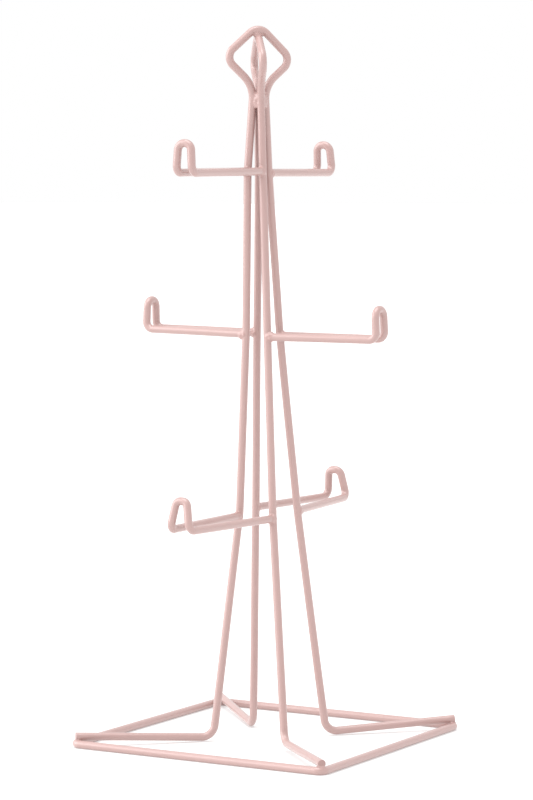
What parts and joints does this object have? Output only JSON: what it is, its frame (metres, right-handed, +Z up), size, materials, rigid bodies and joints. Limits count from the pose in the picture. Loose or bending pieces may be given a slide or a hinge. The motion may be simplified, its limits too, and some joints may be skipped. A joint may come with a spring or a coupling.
{
  "type": "mug tree",
  "caption": "Free-standing wire mug tree: square base ring, four legs closing in a diamond-shaped carrying finial, and paired hairpin hooks in tiers.",
  "frame": {"origin": "on the table, under the middle of the outline; the centre of the base ring is 5.5 mm along +Y from it", "axes": "+Z up; the sides of the base ring lie along X and Y, the top and bottom hooks point along -Y and +Y, and the middle hooks along +X and -X"},
  "size_m": [0.1542, 0.1707, 0.3809],
  "materials": {
    "pink_powder_coat": "satin"
  },
  "bodies": {
    "root": {"base_ring": "pink_powder_coat", "frame_wire_left_right": "pink_powder_coat", "frame_wire_front_back": "pink_powder_coat", "hook_top_near": "pink_powder_coat", "hook_top_far": "pink_powder_coat", "hook_middle_right": "pink_powder_coat", "hook_middle_left": "pink_powder_coat", "hook_low_near": "pink_powder_coat", "hook_low_far": "pink_powder_coat", "corner_weld_front": "pink_powder_coat", "corner_weld_right": "pink_powder_coat", "corner_weld_back": "pink_powder_coat", "corner_weld_left": "pink_powder_coat", "waist_weld_front_right": "pink_powder_coat", "waist_weld_right_back": "pink_powder_coat", "waist_weld_back_left": "pink_powder_coat", "waist_weld_left_front": "pink_powder_coat", "finial_weld_near": "pink_powder_coat", "finial_weld_far": "pink_powder_coat", "hook_top_near_weld_front": "pink_powder_coat", "hook_top_near_weld_left": "pink_powder_coat", "hook_top_far_weld_right": "pink_powder_coat", "hook_top_far_weld_back": "pink_powder_coat", "hook_middle_right_weld_front": "pink_powder_coat", "hook_middle_right_weld_right": "pink_powder_coat", "hook_middle_left_weld_left": "pink_powder_coat", "hook_middle_left_weld_back": "pink_powder_coat", "hook_low_near_weld_front": "pink_powder_coat", "hook_low_near_weld_left": "pink_powder_coat", "hook_low_far_weld_right": "pink_powder_coat", "hook_low_far_weld_back": "pink_powder_coat"}
  },
  "joints": []
}
